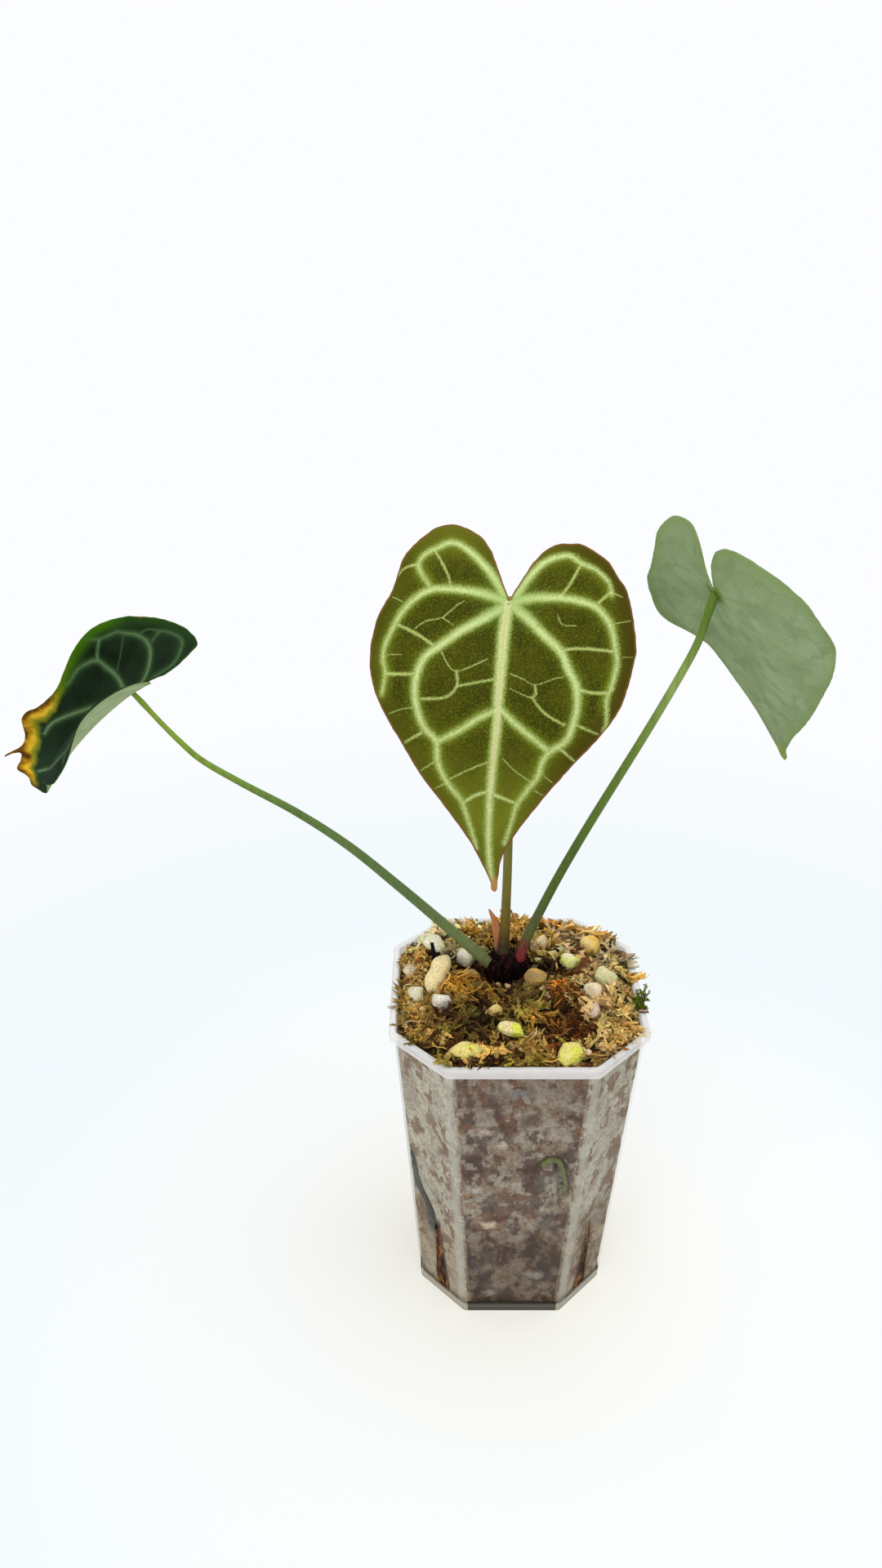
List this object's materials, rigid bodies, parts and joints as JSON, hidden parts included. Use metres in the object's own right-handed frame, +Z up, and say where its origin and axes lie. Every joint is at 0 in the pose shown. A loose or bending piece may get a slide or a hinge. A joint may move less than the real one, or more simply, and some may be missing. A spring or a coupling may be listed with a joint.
{
  "type": "potted anthurium",
  "caption": "Young velvet-leaved anthurium hybrid with heart-shaped blades on long petioles, growing in a clear square nursery pot of long-fibre moss and pumice.",
  "frame": {"origin": "middle of the pot's flat base, on the surface that the pot stands on", "axes": "+Z is up, along the height of the pot; +X runs to the right across the pot's front panel, towards the right leaf; -Y points out of the front panel, the way that the middle leaf faces"},
  "size_m": [0.2326, 0.0783, 0.2506],
  "materials": {
    "pot_plastic": "clear plastic with a milky haze",
    "moss_mix": "stringy, brown and ochre, matte",
    "golden_moss": "dry golden fibre, matte",
    "olive_moss": "olive fibre, matte",
    "rust_moss": "rust-brown fibre, matte",
    "living_moss": "fresh green, matte",
    "crown": "dark fibre, matte",
    "cataphyll": "dry and papery",
    "petiole": "smooth green stem, satin",
    "leaf_blade": "velvety above with pale veins, matte grey-green below",
    "dead_root": "dark and dull",
    "green_root": "olive green, matte",
    "pumice": "chalky cream, porous"
  },
  "bodies": {
    "root": {"pot": "pot_plastic", "soil": "moss_mix", "crown": "crown", "cataphyll": "cataphyll", "petiole_middle": "petiole", "petiole_left": "petiole", "petiole_right": "petiole", "blade_middle": "leaf_blade", "blade_left": "leaf_blade", "blade_right": "leaf_blade", "root_dark": "dead_root", "root_green": "green_root", "root_stub": "dead_root", "twig": "dead_root", "moss_sprig": "living_moss", "moss_tuft_golden": "golden_moss", "moss_tuft_olive": "olive_moss", "moss_tuft_rust": "rust_moss", "pumice_01": "pumice", "pumice_02": "pumice", "pumice_03": "pumice", "pumice_04": "pumice", "pumice_05": "pumice", "pumice_06": "pumice", "pumice_07": "pumice", "pumice_08": "pumice", "pumice_09": "pumice", "pumice_10": "pumice", "pumice_11": "pumice", "pumice_12": "pumice", "pumice_13": "pumice", "pumice_14": "pumice", "pumice_15": "pumice", "pumice_16": "pumice", "pumice_17": "pumice", "pumice_18": "pumice"}
  },
  "joints": []
}
